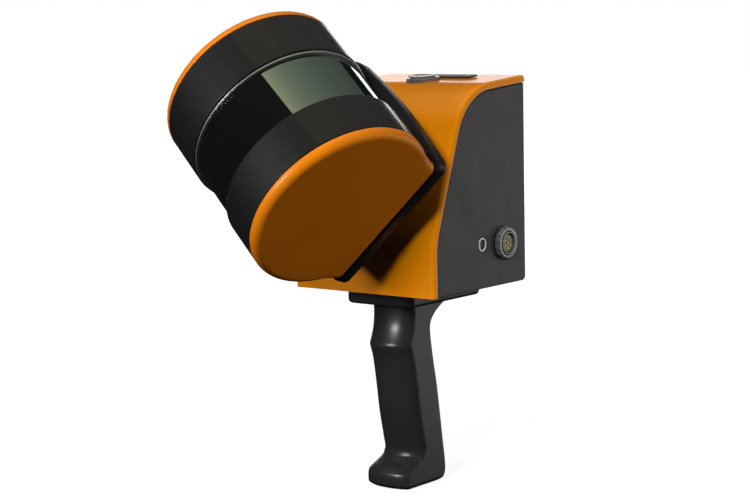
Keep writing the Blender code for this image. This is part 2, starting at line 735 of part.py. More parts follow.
def d_ring(outer, inner, x0, x1, chamfer=0.0):
    """A ring with the head's section between two insets; its outer edges may be chamfered."""
    levels = [(outer, x0), (outer, x1), (inner, x1), (inner, x0)]
    if chamfer:
        levels[:2] = [(outer + chamfer, x0), (outer, x0 + chamfer)]
        levels[2:2] = [(outer, x1 - chamfer), (outer + chamfer, x1)]
    return skin([d_section(inset, x) for inset, x in levels], cyclic=True)


def end_cap(name, side, head):
    """A cap with a well rounded rim."""
    loops = [d_section(0.0, side * (BAND_END + GAP))]
    for angle in (0, 22.5, 45, 67.5, 90):
        turn = math.radians(angle)
        x = CAP_END - CAP_RIM * (1 - math.sin(turn))
        loops.append(d_section(CAP_RIM * (1 - math.cos(turn)), side * x))
    add_piece(name, skin(loops), orange_paint(), head)


def head_covers(head):
    end_cap("near_cap", 1, head)
    end_cap("far_cap", -1, head)
    near = d_ring(0.0, BAND_WALL, WINDOW_NEAR + GAP, BAND_END, 0.5)
    add_piece("near_band", near, black_plastic(), head)
    trim_far = WINDOW_FAR - TRIM_WIDTH
    far = d_ring(0.0, BAND_WALL, -BAND_END, trim_far - GAP, 0.5)
    add_piece("far_band", far, black_plastic(), head)
    inner = WINDOW_INSET + WINDOW_WALL
    add_piece("window_trim", d_ring(0.6, inner, trim_far, WINDOW_FAR), steel(), head)
    glass = d_ring(WINDOW_INSET, inner, WINDOW_FAR + GAP, WINDOW_NEAR)
    add_piece("window_glass", glass, dark_glass(), head)


def bracket_outline(inset):
    """The bracket plate from the front: tight corners at its near end, wide ones at its far end."""
    half = PLATE_HALF_WIDTH - inset
    points = []
    for quarter, side_x, side_y in ((0, 1, 1), (1, -1, 1), (2, -1, -1), (3, 1, -1)):
        radius = (PLATE_NEAR_CORNER if side_x > 0 else PLATE_FAR_CORNER) - inset
        end = PLATE_NEAR_END - inset if side_x > 0 else PLATE_FAR_END + inset
        centre = (end - side_x * radius, side_y * (half - radius))
        start = quarter * math.pi / 2
        points += arc(centre, radius, start, start + math.pi / 2, 5)
        if quarter in (0, 2):
            points += bowed_edge(side_y, half)
    return points


def bowed_edge(side_y, half):
    """Points along one long edge of the bracket plate, from the near end for +Y and back for -Y."""
    near = PLATE_NEAR_END - PLATE_NEAR_CORNER
    far = PLATE_FAR_END + PLATE_FAR_CORNER
    points = []
    for t in (-0.7, -0.4, 0.0, 0.4, 0.7):
        x = (near + far) / 2 - side_y * t * (near - far) / 2
        points.append((x, side_y * (half + PLATE_BOW * (1 - t * t))))
    return points


def bracket(motor, head):
    front = HEAD_FLAT - GAP
    solid = slab(bracket_outline(0.0), PLATE_BACK, front, bracket_outline(0.8), 0.8)
    plate = add_piece("bracket_plate", solid, gloss_black(), head)
    places = grid((-36.0, 38.0), (-32.0, 32.0), 0.0)
    seat = (0.0, 0.0, PLATE_BACK + 3.2)
    pockets = combined([screw_pocket(p, 3.2, 8.0, 1.6, 10.0) for p in places])
    cut(plate, "bracket_screw_pockets", pockets, head, seat, UPSIDE_DOWN)
    hub = [(SHAFT_RADIUS + GAP, HUB_END), (HUB_RADIUS, HUB_END), (HUB_RADIUS, -56.0), (21.5, -53.6)]
    hub += [(29.0, -52.6), (30.0, -51.4), (30.0, PLATE_BACK - GAP), (SHAFT_RADIUS + GAP, PLATE_BACK - GAP)]
    add_piece("neck_hub", turned(hub, 36), black_plastic(), motor)


def laser_unit(head, rotor):
    """The laser unit behind the window: fixed base and spindle, and the turning rotor."""
    along_x = (0.0, math.pi / 2, 0.0)
    base = [(4.35, 24.0), (30.0, 24.0), (34.0, 27.0), (34.0, 46.0), (4.35, 46.0)]
    add_piece("laser_base", turned(base, 24), aluminium(), head, (0, 0, 0), along_x)
    add_piece("laser_spindle", cylinder(4.0, -41.0, 45.5, 20), steel(), head, (0, 0, 0), along_x)
    support = skin([d_section(BAND_WALL + GAP, x) for x in (-40.0, -37.0)])
    plate = add_piece("spindle_plate", support, aluminium(), head)
    cut(plate, "spindle_hole", cylinder(4.35, -45.0, -30.0, 20), head, (0, 0, 0), along_x)
    drum = [(4.5, -12.0), (31.0, -12.0), (31.0, -10.0), (9.0, -10.0), (9.0, 16.0), (31.0, 16.0)]
    drum += [(31.0, 18.5), (4.5, 18.5)]
    add_piece("rotor_frame", turned(drum, 24), aluminium(), rotor, (0, 0, 0), along_x)
    emitters = box((-9.0, -24.0, 10.0), (15.0, -2.0, 20.0))
    add_piece("emitter_bank", emitters, board_green(), rotor)
    receivers = box((-9.0, 2.0, 10.0), (15.0, 24.0, 20.0))
    add_piece("receiver_bank", receivers, board_green(), rotor)
    for name, y in (("emitter_lens", -12.0), ("receiver_lens", 12.0)):
        lens = turned_solid([(8.5, 0.0), (8.5, 3.0), (6.0, 4.4), (2.5, 5.0)], 20)
        add_piece(name, lens, dark_glass(), rotor, (3.0, y, 20.0 + GAP))


# ---------------------------------------------------------------- the whole scanner

def main():
    clear_scene()
    motor = add_empty("motor_frame", None, HEAD_CENTRE, (math.pi / 2 - TILT, 0.0, 0.0))
    head = add_empty("head_frame", motor, (0, 0, 0), (0.0, 0.0, REST_ANGLE))
    rotor = add_empty("rotor_frame_axis", head)
    deck = add_empty("deck_frame", None, deck_origin(), (DECK_TILT, 0.0, 0.0))
    front_shell(motor, deck)
    side_panels()
    rear_cover()
    base_plate()
    handle_flange()
    handle_grip()
    power_button(deck)
    accessory_plate(deck)
    connector()
    port_icon()
    bulkhead(motor)
    bearings(motor)
    drive_train(motor)
    shaft_and_encoder(motor)
    electronics()
    head_covers(head)
    bracket(motor, head)
    laser_unit(head, rotor)


main()
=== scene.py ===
"""Looks of the handheld laser scanner: finished meshes, materials, studio and camera.

Lengths are in millimetres, and MM turns them into metres as a mesh is made. Pieces that stand for a CAD
node are made in the row frame, round the same driving dimensions as the CAD source. The joints in the
record give the head's centre and axes, and the button's axis.
"""

import json
import math

import bmesh
import bpy
from mathutils import Matrix, Vector


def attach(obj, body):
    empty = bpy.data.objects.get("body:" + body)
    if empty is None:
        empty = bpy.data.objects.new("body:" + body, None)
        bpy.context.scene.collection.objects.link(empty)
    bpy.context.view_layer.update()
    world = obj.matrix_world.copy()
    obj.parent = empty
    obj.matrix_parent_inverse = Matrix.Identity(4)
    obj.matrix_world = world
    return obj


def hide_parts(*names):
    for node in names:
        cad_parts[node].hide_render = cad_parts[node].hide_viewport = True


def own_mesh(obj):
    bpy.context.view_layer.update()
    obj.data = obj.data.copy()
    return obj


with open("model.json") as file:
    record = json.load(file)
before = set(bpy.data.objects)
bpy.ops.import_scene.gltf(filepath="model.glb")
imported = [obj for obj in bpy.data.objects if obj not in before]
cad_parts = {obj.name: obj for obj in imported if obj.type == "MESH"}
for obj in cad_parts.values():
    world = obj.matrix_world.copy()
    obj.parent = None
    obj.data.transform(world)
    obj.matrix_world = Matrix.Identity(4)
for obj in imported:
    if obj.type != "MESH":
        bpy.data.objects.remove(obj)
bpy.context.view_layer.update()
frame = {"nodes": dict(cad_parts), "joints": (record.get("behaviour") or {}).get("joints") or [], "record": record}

MM = 0.001
GAP = 0.35                       # clearance between neighbouring pieces
MERGE_REACH = 0.002              # points nearer than this become one
HARD_ANGLE = math.radians(28.0)  # a bevel rounds sharper edges than this

# Body
BODY_Z = 120.0
BODY_HALF_WIDTH = 51.3
BODY_FRONT = -38.0
BODY_BACK = 55.5
SHELL_WALL = 4.0
LIP_HEIGHT = 24.0
LEAN = math.radians(20.0)
LEAN_TOP = 94.0
KNEE_RADIUS = 45.0
ROLL_RADIUS = 40.0
DECK_TILT = math.radians(4.5)
EDGE_RADIUS = 2.4
PANEL_THICKNESS = 3.2
PANEL_FACE = 51.0
BASE_SCREW_SEAT = 1.9
REAR_SCREW_SEAT = 1.8
BUTTON_Y = 4.4
CONNECTOR_Y = 32.5
CONNECTOR_Z = BODY_Z + 25.0
ICON_Y = 11.0
ICON_Z = BODY_Z + 26.0

# Head
HEAD_RADIUS = 54.6
HEAD_FLAT = -41.3
HEAD_SHOULDER = -28.0
HEAD_FLAT_HALF = 44.0
HEAD_CORNER = 5.0
BAND_END = 48.0
CAP_END = 54.0
CAP_RIM = 4.5
WINDOW_NEAR = 20.7
WINDOW_FAR = -15.8
BAND_WALL = 3.2
WINDOW_INSET = 2.4
WINDOW_WALL = 2.3
TRIM_WIDTH = 1.2
PLATE_BACK = -48.6
PLATE_NEAR_END = 53.4
PLATE_FAR_END = -51.0
PLATE_HALF_WIDTH = 46.5
PLATE_NEAR_CORNER = 6.0
PLATE_FAR_CORNER = 20.0
PLATE_BOW = 2.5
PLATE_SCREW_SEAT = 3.2
HUB_RADIUS = 20.0
COLLAR_RADIUS = 27.0
COLLAR_FRONT = -68.2
BULKHEAD_FRONT = -84.4
SHAFT_RADIUS = 7.65

# Power button, measured along its axis from the deck
BUTTON_RADIUS = 10.0
BUTTON_FOOT = -12.0
CAP_UNDERSIDE = -1.6
SPRING_RADIUS = 5.0
SPRING_WIRE = 0.45
SPRING_TURNS = 4

# Handle
GRIP_HALF_WIDTH = 15.3
FLANGE_THICKNESS = 9.2
GRIP_TOP = BODY_Z - FLANGE_THICKNESS - 2 * GAP

# Screws: head radius, head height, shank radius, shank length
REAR_SCREW = (2.6, 1.4, 1.4, 3.0)
BASE_SCREW = (2.6, 1.5, 1.4, 3.0)
ACCESSORY_SCREW = (2.15, 0.5, 1.2, 0.05)
BRACKET_SCREW = (3.1, 2.6, 1.5, 3.0)


# ---------------------------------------------------------------- frames

def joint(name):
    return next(j for j in frame["joints"] if j["name"] == name)


def axes_at(place_mm, x, y, z):
    matrix = Matrix((x, y, z)).transposed().to_4x4()
    matrix.translation = place_mm
    return matrix


def head_frames():
    """The motor frame (Z along the head's turning axis) and the head frame (X along the drum)."""
    spin, rotor = joint("head_spin"), joint("laser_rotor_spin")
    centre = Vector(spin["pos_m"]) / MM
    forward, across = Vector(spin["axis"]), Vector(rotor["axis"])
    side = Vector((1.0, 0.0, 0.0))
    motor = axes_at(centre, side, forward.cross(side), forward)
    return motor, axes_at(centre, across, forward.cross(across), forward)


MOTOR, HEAD = head_frames()


# ---------------------------------------------------------------- outlines

def arc(centre, radius, start, end, steps):
    points = []
    for i in range(steps + 1):
        angle = start + (end - start) * i / steps
        points.append((centre[0] + radius * math.cos(angle), centre[1] + radius * math.sin(angle)))
    return points


def rounded_rectangle(half_x, half_y, radius):
    points = []
    for quarter in range(4):
        sign_x = 1 if quarter in (0, 3) else -1
        sign_y = 1 if quarter in (0, 1) else -1
        centre = (sign_x * (half_x - radius), sign_y * (half_y - radius))
        start = quarter * math.pi / 2
        points += arc(centre, radius, start, start + math.pi / 2, 8)
    return points


def filleted(corners, steps=4):
    """A closed outline whose corners (x, y, radius) are rounded."""
    points = []
    for i, (x, y, radius) in enumerate(corners):
        corner = Vector((x, y))
        back = Vector(corners[i - 1][:2]) - corner
        ahead = Vector(corners[(i + 1) % len(corners)][:2]) - corner
        reach = min(radius, back.length * 0.49, ahead.length * 0.49)
        if reach <= 0:
            points.append((x, y))
            continue
        start, end = corner + back.normalized() * reach, corner + ahead.normalized() * reach
        for step in range(steps + 1):
            t = step / steps
            point = start * (1 - t) ** 2 + corner * 2 * t * (1 - t) + end * t * t
            points.append((point.x, point.y))
    return points


def circle(radius, z, count):
    step = math.tau / count
    return [Vector((radius * math.cos(i * step), radius * math.sin(i * step), z)) for i in range(count)]


# ---------------------------------------------------------------- meshes

def skin(loops, cyclic=False):
    """A solid through closed loops with equal point counts: capped at its ends, or closed on itself."""
    bm = bmesh.new()
    rings = [[bm.verts.new(point) for point in loop] for loop in loops]
    pairs = list(zip(rings, rings[1:]))
    if cyclic:
        pairs.append((rings[-1], rings[0]))
    else:
        bm.faces.new(rings[0])
        bm.faces.new(rings[-1])
    for lower, upper in pairs:
        for i in range(len(lower)):
            j = (i + 1) % len(lower)
            bm.faces.new((lower[i], lower[j], upper[j], upper[i]))
    bmesh.ops.recalc_face_normals(bm, faces=bm.faces)
    return bm


def turned(profile, count=96):
    """A turned piece with a bore, from a closed (radius, z) profile."""
    return skin([circle(radius, z, count) for radius, z in profile], cyclic=True)


def turned_solid(profile, count=96):
    """A turned piece without a bore, from one flat end to the other."""
    return skin([circle(radius, z, count) for radius, z in profile])


def cylinder(radius, z0, z1, count=64):
    return turned_solid([(radius, z0), (radius, z1)], count)


def bevelled(bm, width, segments=3):
    """Rounds a solid's hard edges."""
    hard = [e for e in bm.edges if len(e.link_faces) == 2 and e.calc_face_angle() > HARD_ANGLE]
    bmesh.ops.bevel(
        bm, geom=hard, offset=width, segments=segments, profile=0.5, affect="EDGES", clamp_overlap=True
    )
    return bm


def from_node(node, bevel, segments=2):
    """A CAD node's own solid in millimetres, with joined faces and rounded edges."""
    bm = bmesh.new()
    bm.from_mesh(frame["nodes"][node].data)
    bmesh.ops.scale(bm, vec=(1 / MM,) * 3, verts=bm.verts)
    bmesh.ops.remove_doubles(bm, verts=bm.verts, dist=MERGE_REACH)
    bmesh.ops.dissolve_limit(bm, angle_limit=math.radians(1.0), verts=bm.verts, edges=bm.edges)
    bmesh.ops.recalc_face_normals(bm, faces=bm.faces)
    return bevelled(bm, bevel, segments)


def cut_away(bm, tools):
    """The solid less some tool solids, by exact Booleans."""
    target = plain_object("target", bm)
    cutters = [plain_object("cutter", tool) for tool in tools]
    for cutter in cutters:
        modifier = target.modifiers.new("cut", "BOOLEAN")
        modifier.operation = "DIFFERENCE"
        modifier.solver = "EXACT"
        modifier.object = cutter
    evaluated = target.evaluated_get(bpy.context.evaluated_depsgraph_get())
    result = bmesh.new()
    result.from_mesh(evaluated.to_mesh())
    evaluated.to_mesh_clear()
    for scratch in [target, *cutters]:
        bpy.data.objects.remove(scratch)
    bmesh.ops.remove_doubles(result, verts=result.verts, dist=MERGE_REACH)
    limit = math.radians(0.05)
    bmesh.ops.dissolve_limit(result, angle_limit=limit, verts=result.verts, edges=result.edges)
    return result


def plain_object(name, bm):
    mesh = bpy.data.meshes.new(name)
    bm.to_mesh(mesh)
    bm.free()
    made = bpy.data.objects.new(name, mesh)
    bpy.context.collection.objects.link(made)
    return made


def placed(bm, matrix):
    bm.transform(matrix)
    return bm


def piece(name, bm, look, body, stands_for=(), matrix=None):
    """A finished piece: its mesh is in millimetres, in the given frame."""
    if matrix is not None:
        bm.transform(matrix)
    bmesh.ops.scale(bm, vec=(MM,) * 3, verts=bm.verts)
    made = plain_object(name, bm)
    made.data.shade_smooth()
    made.data.set_sharp_from_angle(angle=math.radians(34.0))
    normals = made.modifiers.new("normals", "WEIGHTED_NORMAL")
    normals.keep_sharp = True
    made.data.materials.append(LOOKS[look])
    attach(made, body)
    if stands_for:
        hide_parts(*stands_for)
    return made


# ---------------------------------------------------------------- materials

class Recipe:
    """Builds one Principled material from noise, with constants set on the shader's own sockets."""

    def __init__(self, name, **constants):
        self.material = bpy.data.materials.new(name)
        self.material.use_nodes = True
        self.tree = self.material.node_tree
        self.shader = self.tree.nodes["Principled BSDF"]
        for socket, value in constants.items():
            self.shader.inputs[socket.replace("_", " ")].default_value = value
        self.place = self.node("ShaderNodeTexCoord").outputs["Object"]

    def node(self, kind, **settings):
        made = self.tree.nodes.new(kind)
        for key, value in settings.items():
            setattr(made, key, value)
        return made

    def link(self, source, target):
        self.tree.links.new(source, target)

    def noise(self, size_mm, detail=3.0, stretch=(1.0, 1.0, 1.0)):
        """Noise whose blobs are about size_mm across, squeezed by stretch."""
        mapping = self.node("ShaderNodeMapping")
        mapping.inputs["Scale"].default_value = [s / (size_mm * MM) for s in stretch]
        self.link(self.place, mapping.inputs["Vector"])
        texture = self.node("ShaderNodeTexNoise")
        texture.inputs["Scale"].default_value = 1.0
        texture.inputs["Detail"].default_value = detail
        texture.inputs["Roughness"].default_value = 0.5
        self.link(mapping.outputs["Vector"], texture.inputs["Vector"])
        return texture.outputs["Fac"]

    def ranged(self, value, low, high, start=0.3, end=0.7):
        """value between start and end mapped to low and high."""
        mapped = self.node("ShaderNodeMapRange")
        for socket, number in (("From Min", start), ("From Max", end), ("To Min", low), ("To Max", high)):
            mapped.inputs[socket].default_value = number
        self.link(value, mapped.inputs["Value"])
        return mapped.outputs["Result"]

    def mixed(self, factor, a, b):
        """A colour between a and b; each is a colour or a socket."""
        mix = self.node("ShaderNodeMix", data_type="RGBA")
        for index, colour in ((6, a), (7, b)):
            if isinstance(colour, tuple):
                mix.inputs[index].default_value = (*colour, 1.0)
            else:
                self.link(colour, mix.inputs[index])
        self.link(factor, mix.inputs[0])
        return mix.outputs[2]

    def edges(self):
        """1 on sharp outer edges, 0 elsewhere, broken up by noise."""
        geometry = self.node("ShaderNodeNewGeometry")
        pointed = self.ranged(geometry.outputs["Pointiness"], 0.0, 1.0, 0.52, 0.62)
        multiply = self.node("ShaderNodeMath", operation="MULTIPLY")
        self.link(pointed, multiply.inputs[0])
        self.link(self.ranged(self.noise(4.0), 0.0, 1.0, 0.4, 0.6), multiply.inputs[1])
        return multiply.outputs["Value"]

    def bump(self, height, depth_mm):
        bump = self.node("ShaderNodeBump")
        bump.inputs["Distance"].default_value = depth_mm * MM
        bump.inputs["Strength"].default_value = 1.0
        self.link(height, bump.inputs["Height"])
        self.link(bump.outputs["Normal"], self.shader.inputs["Normal"])

    def colour(self, socket):
        self.link(socket, self.shader.inputs["Base Color"])

    def roughness(self, socket):
        self.link(socket, self.shader.inputs["Roughness"])


def scaled(colour, factor):
    return tuple(channel * factor for channel in colour)


def moulded(name, colour, roughness, grain_mm, depth_mm, edge_wear_and_highlight=1.6, **constants):
    """Painted or moulded plastic: faint colour drift, fine grain, and slightly lighter edges, partly wear and
    partly a painted highlight.
    """
    look = Recipe(name, **constants)
    drift = look.mixed(look.ranged(look.noise(30.0), 0.0, 1.0), scaled(colour, 0.96), scaled(colour, 1.04))
    # Sharp edges are made lighter: partly edge wear, partly a painted highlight along the edges.
    look.colour(look.mixed(look.edges(), drift, scaled(colour, edge_wear_and_highlight)))
    look.roughness(look.ranged(look.noise(9.0, 5.0), roughness * 0.94, roughness * 1.07))
    look.bump(look.noise(grain_mm, 2.0), depth_mm)
    return look.material


def machined(name, colour, roughness, stretch, depth_mm=0.01):
    """Metal with fine tool marks along one direction."""
    look = Recipe(name, Metallic=1.0)
    marks = look.noise(0.9, 3.0, stretch)
    drift = look.mixed(look.ranged(look.noise(12.0), 0.0, 1.0), scaled(colour, 0.9), scaled(colour, 1.05))
    # Sharp edges are a fifth lighter: partly wear, partly a painted highlight along the edges.
    look.colour(look.mixed(look.edges(), drift, scaled(colour, 1.2)))
    look.roughness(look.ranged(marks, roughness * 0.75, roughness * 1.3))
    look.bump(marks, depth_mm)
    return look.material


def filter_glass():
    """Near-black infrared filter glass with a faint green coating."""
    look = Recipe("filter_glass", IOR=1.92, Specular_IOR_Level=1.0)
    look.shader.inputs["Specular Tint"].default_value = (0.75, 1.0, 0.85, 1.0)
    drift = look.ranged(look.noise(25.0), 0.0, 1.0)
    look.colour(look.mixed(drift, (0.0022, 0.0026, 0.0026), (0.003, 0.0036, 0.0036)))
    look.roughness(look.ranged(look.noise(14.0, 6.0), 0.02, 0.05))
    look.bump(look.noise(40.0, 1.0), 0.004)
    return look.material


def circuit_board():
    """Green solder mask with darker traces."""
    look = Recipe("circuit_board", Specular_IOR_Level=0.6)
    traces = look.ranged(look.noise(2.5, 1.0, (1.0, 1.0, 6.0)), 0.0, 1.0, 0.48, 0.52)
    look.colour(look.mixed(traces, (0.012, 0.11, 0.045), (0.02, 0.17, 0.07)))
    look.roughness(look.ranged(look.noise(3.0), 0.3, 0.5))
    look.bump(traces, 0.03)
    return look.material


ORANGE = (0.78, 0.245, 0.001)
CAP_ORANGE = (0.66, 0.182, 0.003)
LACQUER = {"IOR": 1.34, "Coat_Weight": 0.17, "Coat_Roughness": 0.1}
# moulded() takes a name, colour, roughness, grain size and depth in mm, and lightness of the edges (edge wear and
# painted highlight).
LOOKS = {
    "orange": moulded("orange_coat", ORANGE, 0.38, 0.55, 0.003, 1.12, **LACQUER),
    "cap": moulded("cap_orange", CAP_ORANGE, 0.38, 0.55, 0.003, 1.12, **LACQUER),
    "charcoal": moulded("charcoal_cover", (0.034, 0.033, 0.032), 0.46, 0.35, 0.012),
    "band": moulded("satin_band", (0.0055, 0.0055, 0.0055), 0.56, 0.35, 0.006, 1.6, Specular_IOR_Level=0.36,
                    Coat_Weight=0.5, Coat_IOR=1.2, Coat_Roughness=0.12),
    "shoe": moulded("shoe_plastic", (0.050, 0.038, 0.026), 0.45, 0.35, 0.004, 1.5, IOR=1.3),
    "grip": moulded("grip_plastic", (0.020, 0.020, 0.020), 0.30, 0.5, 0.008, 1.6),
    "gloss": moulded("gloss_black", (0.014, 0.014, 0.014), 0.34, 2.0, 0.002, 1.5, IOR=1.3),
    "glass": filter_glass(),
    "steel": machined("turned_steel", (0.55, 0.55, 0.56), 0.30, (1.0, 1.0, 0.25), 0.001),
    "trim": moulded("trim_metal", (0.5, 0.5, 0.5), 0.42, 0.8, 0.001, 1.1, Metallic=0.9),
    "nut": moulded("nut_metal", (0.30, 0.30, 0.29), 0.28, 0.8, 0.001, 1.1, Metallic=0.7),
    "screw": machined("screw_steel", (0.34, 0.34, 0.34), 0.32, (1.0, 1.0, 0.25), 0.001),
    "aluminium": machined("milled_aluminium", (0.74, 0.75, 0.76), 0.36, (0.2, 1.0, 1.0)),
    "brass": machined("machined_brass", (0.74, 0.53, 0.22), 0.28, (1.0, 1.0, 0.25)),
    "board": circuit_board(),
    "pale": moulded("pale_plastic", (0.62, 0.66, 0.60), 0.42, 0.6, 0.006, 1.1),
    "insert": moulded("connector_insert", (0.21, 0.23, 0.12), 0.40, 0.6, 0.006, 1.2),
}
SLOTS = {
    "orange": "orange_shell", "cap": "orange_shell", "charcoal": "charcoal_cover", "band": "black_plastic",
    "grip": "black_plastic", "shoe": "black_plastic", "gloss": "gloss_black", "glass": "dark_glass",
    "steel": "steel", "screw": "steel", "trim": "steel", "nut": "steel", "aluminium": "aluminium",
    "brass": "brass", "board": "board_green", "pale": "pale_plastic", "insert": "pale_plastic",
}


def finish_kept_nodes():
    """Gives each CAD node that stays its material."""
    by_slot = {SLOTS[look]: look for look in ("orange", "charcoal", "band", "gloss", "glass", "steel",
                                             "aluminium", "brass", "board", "pale")}
    for part in frame["record"]["subparts"]:
        data = frame["nodes"][part["node"]].data
        data.materials.clear()
        data.materials.append(LOOKS[by_slot[part["material_slot"]]])


# ---------------------------------------------------------------- body

def roll_centre():
    knee_y = BODY_FRONT + KNEE_RADIUS * (1 - math.cos(LEAN))
    knee_z = LIP_HEIGHT + KNEE_RADIUS * math.sin(LEAN)
    top_y = knee_y + (LEAN_TOP - knee_z) * math.tan(LEAN)
    return top_y + ROLL_RADIUS * math.cos(LEAN), LEAN_TOP - ROLL_RADIUS * math.sin(LEAN)


def deck_frame():
    """Its origin is the front edge of the flat top, its Z the button's axis."""
    y, z = roll_centre()
    y -= ROLL_RADIUS * math.sin(DECK_TILT)
    z += ROLL_RADIUS * math.cos(DECK_TILT) + BODY_Z
    return Matrix.Translation((0.0, y, z)) @ Matrix.Rotation(DECK_TILT, 4, "X")


DECK = deck_frame()
BUTTON_SEAT = DECK @ Matrix.Translation((0.0, BUTTON_Y, 0.0))


def side_profile(inset):
    """The body's front and top from the side, moved inwards: (y, z) points from bottom to back."""
    points = [(BODY_FRONT + inset, 0.0)]
    knee = (BODY_FRONT + KNEE_RADIUS, LIP_HEIGHT)
    points += arc(knee, KNEE_RADIUS - inset, math.pi, math.pi - LEAN, 10)
    end = math.pi / 2 + DECK_TILT
    points += arc(roll_centre(), ROLL_RADIUS - inset, math.pi - LEAN, end, 28)
    y, z = points[-1]
    points.append((BODY_BACK, z + (BODY_BACK - y) * math.tan(DECK_TILT)))
    return [(y, z + BODY_Z) for y, z in points]


def across(outline, x):
    return [Vector((x, y, z)) for y, z in outline]


def front_shell():
    inner = side_profile(SHELL_WALL)[::-1]
    steps = 7
    loops = []
    for side in (-1, 1):
        for i in range(steps + 1):
            angle = math.pi / 2 * (1 - i / steps if side < 0 else i / steps)
            inset = EDGE_RADIUS * (1 - math.cos(angle))
            x = side * (BODY_HALF_WIDTH - EDGE_RADIUS * (1 - math.sin(angle)))
            loops.append(across(side_profile(inset) + inner, x))
    collar = placed(cylinder(COLLAR_RADIUS + GAP, -95.0, -60.0, 96), MOTOR)
    button = placed(cylinder(BUTTON_RADIUS + GAP, -10.0, 10.0), BUTTON_SEAT)
    piece("shell_cover", cut_away(skin(loops), [collar, button]), "orange", "scanner_body", ["front_shell"])


def side_panel(side):
    outline = side_profile(SHELL_WALL + GAP)
    y, z = outline[-1]
    corner = 3.0
    outline += arc((y - corner, BODY_Z + corner), corner, 0.0, -math.pi / 2, 8)
    loops = [across(outline, side * x) for x in (PANEL_FACE - PANEL_THICKNESS, PANEL_FACE)]
    return skin(loops)


def on_panel(y, z):
    """A place on the right panel's face, with its Z out of the panel."""
    return Matrix.Translation((PANEL_FACE, y, z)) @ Matrix.Rotation(math.pi / 2, 4, "Y")


def side_panels():
    piece("left_side_cover", bevelled(side_panel(-1), 0.5), "charcoal", "scanner_body", ["side_panel_left"])
    hole = placed(cylinder(7.2, -10.0, 10.0), on_panel(CONNECTOR_Y, CONNECTOR_Z))
    outline = rounded_rectangle(4.5, 4.4, 2.4)
    pocket = skin([[Vector((x, y, z)) for x, y in outline] for z in (-0.9, 2.0)])
    right = cut_away(bevelled(side_panel(1), 0.8), [hole, placed(pocket, on_panel(ICON_Y, ICON_Z))])
    piece("right_side_cover", right, "charcoal", "scanner_body", ["side_panel_right"])


def covers():
    piece("back_cover", from_node("rear_cover", 0.5), "charcoal", "scanner_body", ["rear_cover"])
    piece("bottom_cover", from_node("base_plate", 0.4), "charcoal", "scanner_body", ["base_plate"])
    piece("handle_base", from_node("handle_flange", 0.5, 3), "grip", "scanner_body", ["handle_flange"])


def socket_screw(head_radius, head_height, shank_radius, shank_length):
    """A socket screw standing on the origin, its head towards +Z and its hexagon cut in."""
    rim = 0.18 * head_radius
    profile = [(shank_radius, -shank_length), (shank_radius, 0.0), (head_radius, 0.0)]
    profile += [(head_radius, head_height - rim), (head_radius - 0.3 * rim, head_height - 0.3 * rim)]
    profile += [(head_radius - rim, head_height)]
    solid = turned_solid(profile, 48)
    socket = cylinder(0.56 * head_radius, 0.35 * head_height, head_height + 1.0, 6)
    return cut_away(solid, [socket])


def bracket_seat(x, y):
    """The seat of the bracket plate's screw on the given sides (-1 or 1) of the head's X and Y."""
    return HEAD @ Matrix.Translation((1.0 + 37.0 * x, 32.0 * y, PLATE_BACK + PLATE_SCREW_SEAT))


def screws():
    """The cover screws, in the pockets that the CAD nodes leave for them."""
    upside_down = Matrix.Rotation(math.pi, 4, "X")
    backwards = Matrix.Rotation(-math.pi / 2, 4, "X")
    places = []
    for x in (-1, 1):
        for z in (12.0, 104.0):
            spot = Matrix.Translation((40.0 * x, BODY_BACK - REAR_SCREW_SEAT, BODY_Z + z))
            places.append(("rear", "scanner_body", spot @ backwards, REAR_SCREW))
        for y in (-27.0, 44.0):
            spot = Matrix.Translation((41.0 * x, y, BODY_Z + BASE_SCREW_SEAT))
            places.append(("base", "scanner_body", spot @ upside_down, BASE_SCREW))
        spot = DECK @ Matrix.Translation((3.0 + 18.0 * x, 20.4, GAP + 0.55))
        places.append(("accessory", "scanner_body", spot, ACCESSORY_SCREW))
        for y in (-1, 1):
            places.append(("bracket", "scan_head", bracket_seat(x, y) @ upside_down, BRACKET_SCREW))
    for number, (group, body, spot, sizes) in enumerate(places, 1):
        piece(f"{group}_screw_{number}", socket_screw(*sizes), "screw", body, (), spot)


# ---------------------------------------------------------------- handle

def eased(keys, z):
    """Smooth curve through (z, y) keys, from top to bottom."""
    for i in range(len(keys) - 1):
        (z0, y0), (z1, y1) = keys[i], keys[i + 1]
        if z1 <= z <= z0:
            before, after = keys[max(i - 1, 0)], keys[min(i + 2, len(keys) - 1)]
            slope0 = (y1 - before[1]) / (z1 - before[0])
            slope1 = (after[1] - y0) / (after[0] - z0)
            span = z1 - z0
            t = (z - z0) / span
            a = (2 * t ** 3 - 3 * t ** 2 + 1) * y0 + (t ** 3 - 2 * t ** 2 + t) * span * slope0
            b = (3 * t ** 2 - 2 * t ** 3) * y1 + (t ** 3 - t ** 2) * span * slope1
            return a + b
    return keys[-1][1]


def grip_section(front, back, half, bulge, z):
    """Half an ellipse in front, rounded corners behind."""
    back_corner = 4.0
    points = arc((half - back_corner, back - back_corner), back_corner, 0.0, math.pi / 2, 8)
    points += arc((-half + back_corner, back - back_corner), back_corner, math.pi / 2, math.pi, 8)
    for x, y in arc((0.0, 0.0), 1.0, math.pi, math.tau, 48):
        points.append((half * x, front + bulge + bulge * y))
    return [Vector((x, y, z)) for x, y in points]


